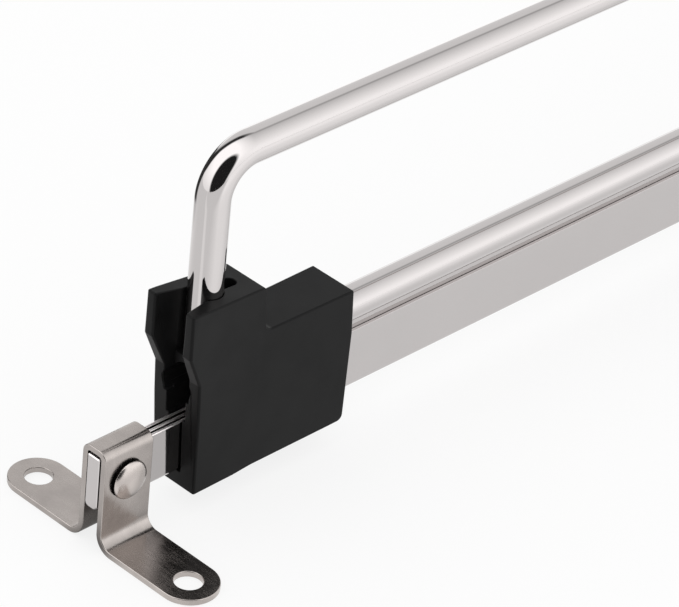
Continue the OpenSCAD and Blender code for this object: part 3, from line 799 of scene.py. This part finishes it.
def slider_tools(s, start, end, top):
    """What is cut out of the slider: the rail's passage, the slot, the rod's seat and its relief."""
    rod_x, throat = ROD_LOW.x + ROD_R, s.throat_w / 2
    throat_x, relief_r = rod_x - ROD_R - FIT_GAP, s.relief_w / 2
    relief_x, relief_z = rod_x + ROD_R + s.relief_len - relief_r, top - s.relief_depth
    web_half, ledge_half = s.web_t / 2 + RUN_GAP, s.ledge_gap_w / 2
    cut_z, mouth, low = RAIL_LOW.z + s.web_h - s.notch_drop, s.slot_mouth_w / 2, s.slot_low_w / 2
    funnel = prism(both_sides([(start, -mouth), (throat_x, -throat)]), "Z", s.ledge_z, top + OVER)
    slot = both_sides([(s.ledge_z, -low), (s.slant_bottom_z, -low), (top, -mouth), (top + OVER, -mouth)])
    narrowing = prism([(y, z) for z, y in slot], "X", start, throat_x)
    return [
        disc("X", (0, TUBE_Z), TUBE_R + RUN_GAP, start, end, steps=72),
        block((start, -web_half, RAIL_LOW.z - RUN_GAP), (end, web_half, TUBE_Z)),
        block((start, -ledge_half, cut_z + RUN_GAP), (end, ledge_half, s.ledge_z + OVER)),
        overlap(funnel, narrowing),
        block((throat_x - OVER, -throat, ROD_LOW.z), (rod_x, throat, top + OVER)),
        disc("Z", (rod_x, 0), s.seat_w / 2, ROD_LOW.z, top + OVER, steps=64),
        block((rod_x, -relief_r, relief_z), (relief_x, relief_r, top + OVER)),
        disc("Z", (relief_x, 0), relief_r, relief_z, top + OVER, steps=32),
    ]


class VALETROD_OT_slider(bpy.types.Operator):
    """Makes the moulded rear slider with its tower, slot and seat"""

    bl_idname = "valet_rod.slider"
    bl_label = "Rear slider"
    bl_options = {"REGISTER", "UNDO"}

    def execute(self, context):
        s = sizes_mm(context)
        left, right = SLIDER_LOW.x, SLIDER_HIGH.x
        bottom, top = SLIDER_LOW.z, SLIDER_HIGH.z
        tower_end, low_left = left + s.tower_len, left + s.set_back
        side = rounded([(low_left + s.lower_lean, bottom, 0),
                        (right - s.end_lean / 2, bottom + s.underside_rise, s.slider_corner_r),
                        (right, s.lean_z, 0), (right - s.end_lean, s.block_top_z, 0),
                        (tower_end + s.tower_lean, s.block_top_z, s.step_r),
                        (tower_end, top - s.tower_fall, 0), (left, top, 0),
                        (left, s.slant_top_z, s.slant_r), (low_left, s.slant_bottom_z, s.slant_r)], steps=5)
        near = [(left - OVER, -s.open_end_w / 2), (tower_end, -s.waist_w / 2), (right + OVER, -s.block_w / 2)]
        draft = both_sides([(bottom, -s.underside_w / 2), (s.slant_bottom_z, -s.open_end_w / 2),
                            (top, -s.open_top_w / 2)])
        body = as_object("moulded_slider", prism(side, "Y", -WIDE, WIDE))
        combine(body, prism(both_sides(near), "Z", bottom - OVER, top + OVER), "INTERSECT")
        combine(body, prism([(y, z) for z, y in draft], "X", left - OVER, right + OVER), "INTERSECT")

        def outer_radius(middle, along):
            open_end = middle.x < low_left + s.lower_lean + MARGIN and abs(middle.y) > s.waist_w / 2 - MARGIN
            upright = abs(along.y) < 0.5 and abs(along.x) < 0.9
            return PLASTIC_EDGE if open_end and upright else PLASTIC_CREST

        def inner_radius(middle, along):
            if abs(middle.y) > (s.slot_mouth_w + MARGIN) / 2:
                return 0
            rim = middle.x < low_left + MARGIN and abs(middle.y) > s.slot_low_w / 2 - CLOSE
            return PLASTIC_RIM if rim and middle.z > s.ledge_z + MARGIN else PLASTIC_LIP

        soften(body, PLASTIC_EDGE, segments=5, radius_at=outer_radius)
        for tool in slider_tools(s, left - OVER, right + OVER, top):
            combine(body, tool)
        soften(body, PLASTIC_RIM, sharpest=50, radius_at=inner_radius)
        finish_piece(body, "black_plastic", MOVING, "black_plastic", "rear_slider")
        return {"FINISHED"}


# Sizes of the grip, in millimetres: its rear step, its front corners, its finger hollow and its narrow front.
GRIP_STEP_LEN, GRIP_SLOPE, GRIP_NOSE_R = 4, 4, 3.2
FINGER_HOLLOW, FINGER_HOLLOW_R = 2.4, 9.6
GRIP_TAPER_LEN, GRIP_FRONT_W = 9, 9.6


class VALETROD_OT_grip(bpy.types.Operator):
    """Makes the moulded front grip"""

    bl_idname = "valet_rod.grip"
    bl_label = "Front grip"
    bl_options = {"REGISTER", "UNDO"}

    def execute(self, context):
        s = sizes_mm(context)
        left, right = GRIP_LOW.x, GRIP_HIGH.x
        bottom, top = GRIP_LOW.z, GRIP_HIGH.z
        step_x = left + GRIP_STEP_LEN
        side = rounded([(left, bottom, s.slider_corner_r), (right - GRIP_SLOPE / 2, bottom, GRIP_NOSE_R),
                        (right, bottom + GRIP_SLOPE, GRIP_NOSE_R),
                        (right - FINGER_HOLLOW, (bottom + s.block_top_z) / 2, FINGER_HOLLOW_R),
                        (right, s.block_top_z, GRIP_NOSE_R), (right - GRIP_SLOPE, top, GRIP_NOSE_R),
                        (step_x, top, 0), (step_x, s.block_top_z, s.step_r), (left, s.block_top_z, 0)])
        near = [(left - OVER, -s.block_w / 2), (right - GRIP_TAPER_LEN, -s.waist_w / 2),
                (right + OVER, -GRIP_FRONT_W / 2)]
        body = as_object("moulded_grip", prism(side, "Y", -WIDE, WIDE))
        combine(body, prism(both_sides(near), "Z", bottom - OVER, top + OVER), "INTERSECT")
        soften(body, PLASTIC_CREST, segments=4)
        for tool in (
            disc("X", (0, TUBE_Z), s.bar_d / 2 + PRESS_GAP, left - OVER, BAR_HIGH.x, steps=64),
            disc("Z", (ROD_HIGH.x - ROD_R, 0), ROD_R + PRESS_GAP, ROD_LOW.z, top + OVER, steps=96),
            disc("X", (0, BUFFER_Z), BUFFER_R + PRESS_GAP, left - OVER, BUFFER_HIGH.x, steps=64),
        ):
            combine(body, tool)
        soften(body, PLASTIC_LIP / 2, segments=2, sharpest=60)
        finish_piece(body, "black_plastic", MOVING, "black_plastic", "front_grip")
        return {"FINISHED"}


# Sizes of the bar, the mouth bush and the buffer, in millimetres.
SPIGOT_LEN, SPIGOT_STEP, BAR_CHAMFER = 10, 0.7, 0.4
FLANGE_T, FLANGE_EDGE = 1.2, 0.25
BUFFER_EDGE, BUFFER_HOLLOW, BUFFER_CHAMFER = 0.4, 0.5, 0.1


def bar_profile(s):
    """The slide bar: the spigot for its end bush, the bar and its chamfered front end."""
    bar_r, step_x = s.bar_d / 2, BAR_LOW.x + SPIGOT_LEN
    spigot_r = bar_r - SPIGOT_STEP
    return [(0, BAR_LOW.x), (spigot_r, BAR_LOW.x), (spigot_r, step_x), (bar_r, step_x),
            (bar_r, BAR_HIGH.x - BAR_CHAMFER), (bar_r - BAR_CHAMFER, BAR_HIGH.x), (0, BAR_HIGH.x)]


def mouth_bush_profile(s):
    """The bush that guides the bar: a sleeve in the tube, and a flange on the tube's end."""
    sleeve_r, bore_r = TUBE_R - s.sheet_t - PRESS_GAP, s.bar_d / 2 + FIT_GAP
    front, edge = MOUTH_HIGH.x, FLANGE_EDGE
    return [(bore_r, MOUTH_LOW.x), (sleeve_r, MOUTH_LOW.x), (sleeve_r, front - FLANGE_T),
            (TUBE_R, front - FLANGE_T), *arc((TUBE_R - edge, front - edge), edge, 0, 90, steps=5),
            (bore_r + edge, front), (bore_r, front - edge)]


def buffer_profile():
    """The rubber disc: a hollow in its face, and a round rim."""
    face, hollow_r = BUFFER_LOW.x, BUFFER_R / 2
    rim = arc((face + BUFFER_EDGE, BUFFER_R - BUFFER_EDGE), BUFFER_EDGE, 180, 90, steps=6)
    return [(0, face + BUFFER_HOLLOW), (hollow_r, face + BUFFER_HOLLOW), (hollow_r, face + BUFFER_CHAMFER),
            (hollow_r + BUFFER_CHAMFER, face), *((radius, x) for x, radius in rim),
            (BUFFER_R, BUFFER_HIGH.x), (0, BUFFER_HIGH.x)]


class VALETROD_OT_inner_slide(bpy.types.Operator):
    """Makes the slide bar, its mouth bush and the closing buffer"""

    bl_idname = "valet_rod.inner_slide"
    bl_label = "Inner slide"
    bl_options = {"REGISTER", "UNDO"}

    def execute(self, context):
        s = sizes_mm(context)
        bar = as_object("drawn_slide_bar", lathe(bar_profile(s), "X", (0, TUBE_Z), steps=96))
        finish_piece(bar, "bar_steel", MOVING, "bar_steel", "slide_bar")
        bush = as_object("nylon_mouth_bush", lathe(mouth_bush_profile(s), "X", (0, TUBE_Z)))
        finish_piece(bush, "nylon", FIXED, "white_nylon", "mouth_bush")
        pad = as_object("rubber_buffer", lathe(buffer_profile(), "X", (0, BUFFER_Z)))
        finish_piece(pad, "rubber", MOVING, "buffer_rubber", "closing_buffer")
        return {"FINISHED"}


# The frame's own pieces that are shown as they are, and their finishes.
CARRIED = {"rear_rod_pin": "plain_steel", "front_rod_pin": "plain_steel", "grip_bar_pin": "plain_steel",
           "end_bush": "nylon", "end_bush_washer": "plain_steel", "end_bush_screw": "plain_steel"}


class VALETROD_OT_carried(bpy.types.Operator):
    """Gives the pins and the bar's inner end their finishes"""

    bl_idname = "valet_rod.carried"
    bl_label = "Pins and bush"
    bl_options = {"REGISTER", "UNDO"}

    def execute(self, context):
        for name, finish in CARRIED.items():
            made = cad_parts[name]
            made.data.materials.clear()
            made.data.materials.append(material(finish))
        return {"FINISHED"}


# Stage


def camera_axes(studio):
    """The camera's right, up and back directions."""
    a, e, r = studio.azimuth, studio.elevation, studio.roll
    back = Vector((sin(a) * cos(e), -cos(a) * cos(e), sin(e)))
    level = Vector((cos(a), sin(a), 0))
    up = back.cross(level)
    return level * cos(r) - up * sin(r), level * sin(r) + up * cos(r), back


def make_camera(scene, studio):
    """The camera at the photograph's angle."""
    right, up, back = camera_axes(studio)
    data = bpy.data.cameras.new("camera")
    data.sensor_width = 36
    data.lens = studio.focal_px / PICTURE_W * data.sensor_width
    data.clip_start, data.clip_end = 0.01, 50
    camera = bpy.data.objects.new("camera", data)
    scene.collection.objects.link(camera)
    place = (Vector((-BRACKET_X * MM, 0, 0)) + right * studio.slide_right + up * studio.slide_up
             + back * studio.distance)
    camera.matrix_world = Matrix.Translation(place) @ Matrix((right, up, back)).transposed().to_4x4()
    scene.camera = camera


def seen_by(tree, *kinds):
    """1 for the named kinds of rays and 0 for all others."""
    rays = tree.nodes.new("ShaderNodeLightPath").outputs
    return maths(tree, "MAXIMUM", *(rays[f"Is {kind} Ray"] for kind in kinds))


# What the metal mirrors of the floor: patches of painted light and painted shadow, in metres along and aside
# of the object. Each span runs from where a patch has no effect to where it has all. A tilt leans a patch's
# edge, in metres along for each one aside. The open floor is painted brighter away from the object, and less
# so on its far side, so that it is darker near the object as painted shade.
OPEN_NEAR, OPEN_WIDE, OPEN_START, OPEN_FAR_SHARE = (0.025, 0.085), (0.085, 0.32), (-0.23, -0.15), 0.45
OPEN_NEAR_LEVEL, OPEN_WIDE_LEVEL = 0.26, 0.24
# The floor beneath the rear bracket has a painted shadow.
BENEATH_SIDE, BENEATH_START, BENEATH_END = (0.011, 0.003), (-0.19, -0.177), (-0.15, -0.16)
BENEATH_LEVEL = -0.65
# Beside the near foot a patch goes from painted light to painted shade.
BESIDE_TILT, BESIDE_TURN, BESIDE_LEVELS = 1.107, (-0.180, -0.166), (0.2, -0.2)
BESIDE_END, BESIDE_NEAR, BESIDE_FAR = (-0.135, -0.15), (-0.038, -0.028), (-0.001, -0.007)
# Far behind the rail, a painted dark patch shows as a painted reflection in the rod's bend.
BEHIND_SIDE, BEHIND_SHARE = (0.11, 0.15), 0.96
BEHIND_START, BEHIND_START_TILT, BEHIND_END, BEHIND_END_TILT = (-0.17, -0.13), 0.3, (-0.02, -0.07), -0.25


def painted_floor_shading(tree):
    """The extra light of the floor's patches, and the share of it that the dark patch behind takes."""
    here = tree.nodes.new("ShaderNodeTexCoord").outputs["Object"]
    place = node(tree, "ShaderNodeSeparateXYZ", {"Vector": here}).outputs
    along, aside = place["X"], place["Y"]

    def tilted(tilt):
        return maths(tree, "ADD", along, maths(tree, "MULTIPLY", aside, tilt))

    away = maths(tree, "MAXIMUM", maths(tree, "MULTIPLY", aside, -1),
                 maths(tree, "MULTIPLY", aside, OPEN_FAR_SHARE))
    bright = maths(tree, "ADD", ramp(tree, away, OPEN_NEAR, 0, OPEN_NEAR_LEVEL),
                   ramp(tree, away, OPEN_WIDE, 0, OPEN_WIDE_LEVEL))
    bright = maths(tree, "MULTIPLY", bright, ramp(tree, along, OPEN_START))
    side = maths(tree, "ABSOLUTE", aside, 0)
    beneath = maths(tree, "MULTIPLY", ramp(tree, side, BENEATH_SIDE, 0, BENEATH_LEVEL),
                    ramp(tree, along, BENEATH_START), ramp(tree, along, BENEATH_END))
    leaned = tilted(BESIDE_TILT)
    beside = maths(tree, "MULTIPLY", ramp(tree, leaned, BESIDE_TURN, *BESIDE_LEVELS),
                   ramp(tree, leaned, BESIDE_END), ramp(tree, aside, BESIDE_NEAR),
                   ramp(tree, aside, BESIDE_FAR))
    behind = maths(tree, "MULTIPLY", ramp(tree, aside, BEHIND_SIDE, 0, BEHIND_SHARE),
                   ramp(tree, tilted(BEHIND_START_TILT), BEHIND_START),
                   ramp(tree, tilted(BEHIND_END_TILT), BEHIND_END))
    return maths(tree, "ADD", bright, beneath, beside), behind


def make_floor(studio):
    """A plain white floor, part of whose white stays when it is shadowed."""
    half = studio.floor_size / 2
    mesh = bmesh.new()
    mesh.faces.new([mesh.verts.new((x, y, 0)) for x, y in
                    ((-half, -half), (half, -half), (half, half), (-half, half))])
    floor = as_object("floor", mesh)
    made = bpy.data.materials.new("floor_white")
    made.use_nodes = True
    tree = made.node_tree
    tree.nodes.clear()
    patches, behind = painted_floor_shading(tree)
    mirrored = seen_by(tree, "Glossy")
    shown = maths(tree, "SUBTRACT", 1, maths(tree, "MULTIPLY", behind, mirrored))
    direct = maths(tree, "MULTIPLY", seen_by(tree, "Camera", "Glossy", "Transmission"), studio.floor_glow)
    kept = maths(tree, "ADD", direct, maths(tree, "MULTIPLY", patches, mirrored))
    kept = maths(tree, "MULTIPLY", kept, shown)
    white = node(tree, "ShaderNodeBsdfDiffuse", {"Color": maths(tree, "MULTIPLY", shown, studio.floor_share)})
    glow = node(tree, "ShaderNodeEmission", {"Color": (1, 1, 1, 1), "Strength": kept})
    both = node(tree, "ShaderNodeAddShader", {0: white.outputs["BSDF"], 1: glow.outputs["Emission"]})
    node(tree, "ShaderNodeOutputMaterial", {"Surface": both.outputs["Shader"]})
    floor.data.materials.append(made)


# The directions of the far panel and of the dark corner of the room, and the spans of their edges as cosines
# of the angle to them. A dark rim lies round the panel, and reaches further low on the rear side.
FAR_AXIS, RIM_EDGE, PANEL_EDGE = Vector((0.629, 0.727, 0.275)), (0.68, 0.76), (0.77, 0.84)
DARK_AXIS, DARK_EDGE = Vector((-0.666, -0.639, 0.384)), (cos(radians(43)), cos(radians(36)))
RIM_DARK, RIM_REACH, RIM_HEIGHT, PANEL_SHRINK = 0.04, (0.2, 0.08), (0.15, 0.55), 0.04
# The room goes from the rear to the front by the X of a direction, and brightens with its Z and its turn
# about X, in half turns from the far horizon over the top.
TO_REAR, TO_FRONT = (0.5, 0.0), (0.3, 0.6)
NEAR_TURN, NEAR_LOW = (0.42, 0.9), 0.8
HIGH_RISE, HIGH_LOW = (0.0, 0.55), 1.34


def make_light(scene, studio):
    """A soft studio all round: a round pale panel with a dark rim on the far side, a soft box that rises
    on the near side, and a dark corner of the room behind the camera."""
    world = bpy.data.worlds.new("studio_light")
    scene.world = world
    world.use_nodes = True
    tree = world.node_tree
    tree.nodes.clear()
    direction = tree.nodes.new("ShaderNodeTexCoord").outputs["Generated"]
    axes = node(tree, "ShaderNodeSeparateXYZ", {"Vector": direction})
    across, height = axes.outputs["X"], axes.outputs["Z"]
    turn = maths(tree, "DIVIDE", maths(tree, "ARCTAN2", height, axes.outputs["Y"]), pi)

    def toward(axis):
        return node(tree, "ShaderNodeVectorMath", {0: direction, 1: axis.normalized()},
                    operation="DOT_PRODUCT").outputs["Value"]

    near = ramp(tree, turn, NEAR_TURN, NEAR_LOW, studio.near_level)
    high = ramp(tree, height, HIGH_RISE, HIGH_LOW, studio.high_level)
    room = blend(tree, ramp(tree, across, TO_REAR), near, high)
    far = toward(FAR_AXIS)
    rim = ramp(tree, across, TO_FRONT, RIM_DARK, studio.rim_level)
    reach = maths(tree, "MULTIPLY", ramp(tree, height, RIM_HEIGHT, *RIM_REACH),
                  ramp(tree, across, TO_FRONT, 1, 0))
    rimmed = blend(tree, ramp(tree, maths(tree, "ADD", far, reach), RIM_EDGE), room, rim)
    inner = maths(tree, "SUBTRACT", far, ramp(tree, across, TO_FRONT, PANEL_SHRINK, 0))
    panel = blend(tree, ramp(tree, inner, PANEL_EDGE), rimmed, studio.far_level)
    level = blend(tree, ramp(tree, toward(DARK_AXIS), DARK_EDGE), panel, studio.dark_level)
    strength = blend(tree, seen_by(tree, "Glossy", "Transmission"), studio.plain_level, level)
    glow = node(tree, "ShaderNodeBackground", {"Color": (1, 1, 1, 1), "Strength": strength})
    node(tree, "ShaderNodeOutputWorld", {"Surface": glow.outputs["Background"]})


class VALETROD_OT_stage(bpy.types.Operator):
    """Makes the camera, the white floor and the soft studio light"""

    bl_idname = "valet_rod.stage"
    bl_label = "Stage"
    bl_options = {"REGISTER", "UNDO"}

    def execute(self, context):
        scene, studio = context.scene, context.scene.valet_rod_studio
        make_camera(scene, studio)
        make_floor(studio)
        make_light(scene, studio)
        scene.view_settings.view_transform = "Standard"
        return {"FINISHED"}


STEPS = (VALETROD_OT_rail, VALETROD_OT_brackets, VALETROD_OT_rivets, VALETROD_OT_hanging_rod,
         VALETROD_OT_slider, VALETROD_OT_grip, VALETROD_OT_inner_slide, VALETROD_OT_carried,
         VALETROD_OT_stage)


class VALETROD_PT_panel(bpy.types.Panel):
    """Lists the steps that dress the valet rod"""

    bl_label = "Valet Rod"
    bl_idname = "VALETROD_PT_panel"
    bl_space_type = "VIEW_3D"
    bl_region_type = "UI"
    bl_category = "Valet Rod"

    def draw(self, context):
        for step in STEPS:
            self.layout.operator(step.bl_idname)
        for name, group in SETTINGS.items():
            column = self.layout.column(heading=group.__doc__)
            for key in group.__annotations__:
                column.prop(getattr(context.scene, name), key)


CLASSES = (*SETTINGS.values(), *STEPS, VALETROD_PT_panel)


def register():
    for cls in CLASSES:
        bpy.utils.register_class(cls)
    for name, group in SETTINGS.items():
        setattr(bpy.types.Scene, name, PointerProperty(type=group))


def unregister():
    for name in SETTINGS:
        delattr(bpy.types.Scene, name)
    for cls in reversed(CLASSES):
        bpy.utils.unregister_class(cls)


def main():
    register()
    for step in STEPS:
        group, name = step.bl_idname.split(".")
        getattr(getattr(bpy.ops, group), name)()


if __name__ == "__main__":
    main()
